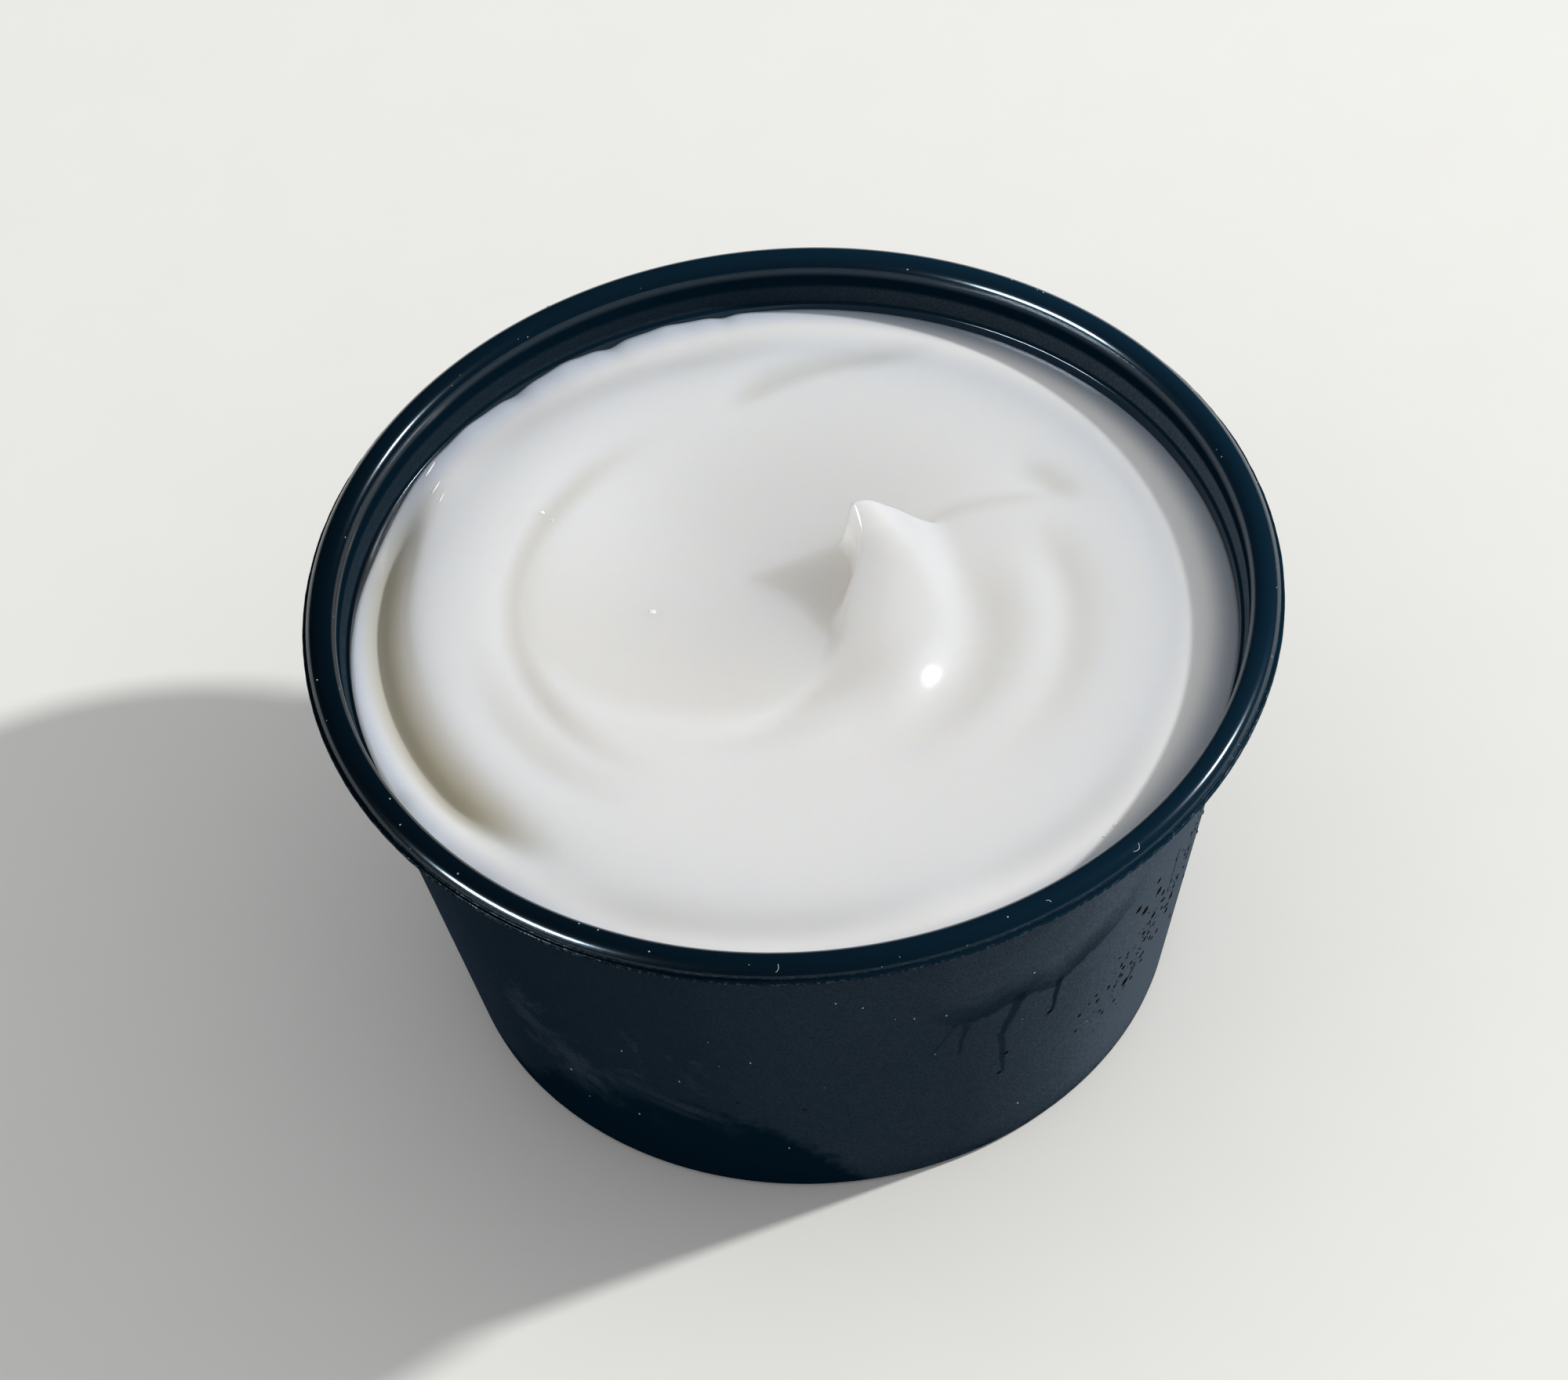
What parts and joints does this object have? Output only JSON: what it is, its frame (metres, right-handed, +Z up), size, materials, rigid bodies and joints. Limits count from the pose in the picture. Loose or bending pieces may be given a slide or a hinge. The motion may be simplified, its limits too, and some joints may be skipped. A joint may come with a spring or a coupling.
{
  "type": "sour cream tub",
  "caption": "Small round tapered portion tub with a rolled rim, filled with sour cream that a spoon has swirled into a well and a soft lifted peak.",
  "frame": {"origin": "centre of the standing ring, on the surface the tub stands on", "axes": "+Z up along the tub's axis; +X toward the side of the lobe and the lit rim; -Y toward the viewer"},
  "size_m": [0.074, 0.074, 0.0379],
  "materials": {
    "tub_plastic": "satin blue-black moulded plastic, lightly misted outside",
    "cream": "soft moist neutral white"
  },
  "bodies": {
    "root": {"cup": "tub_plastic", "sour_cream": "cream"}
  },
  "joints": []
}
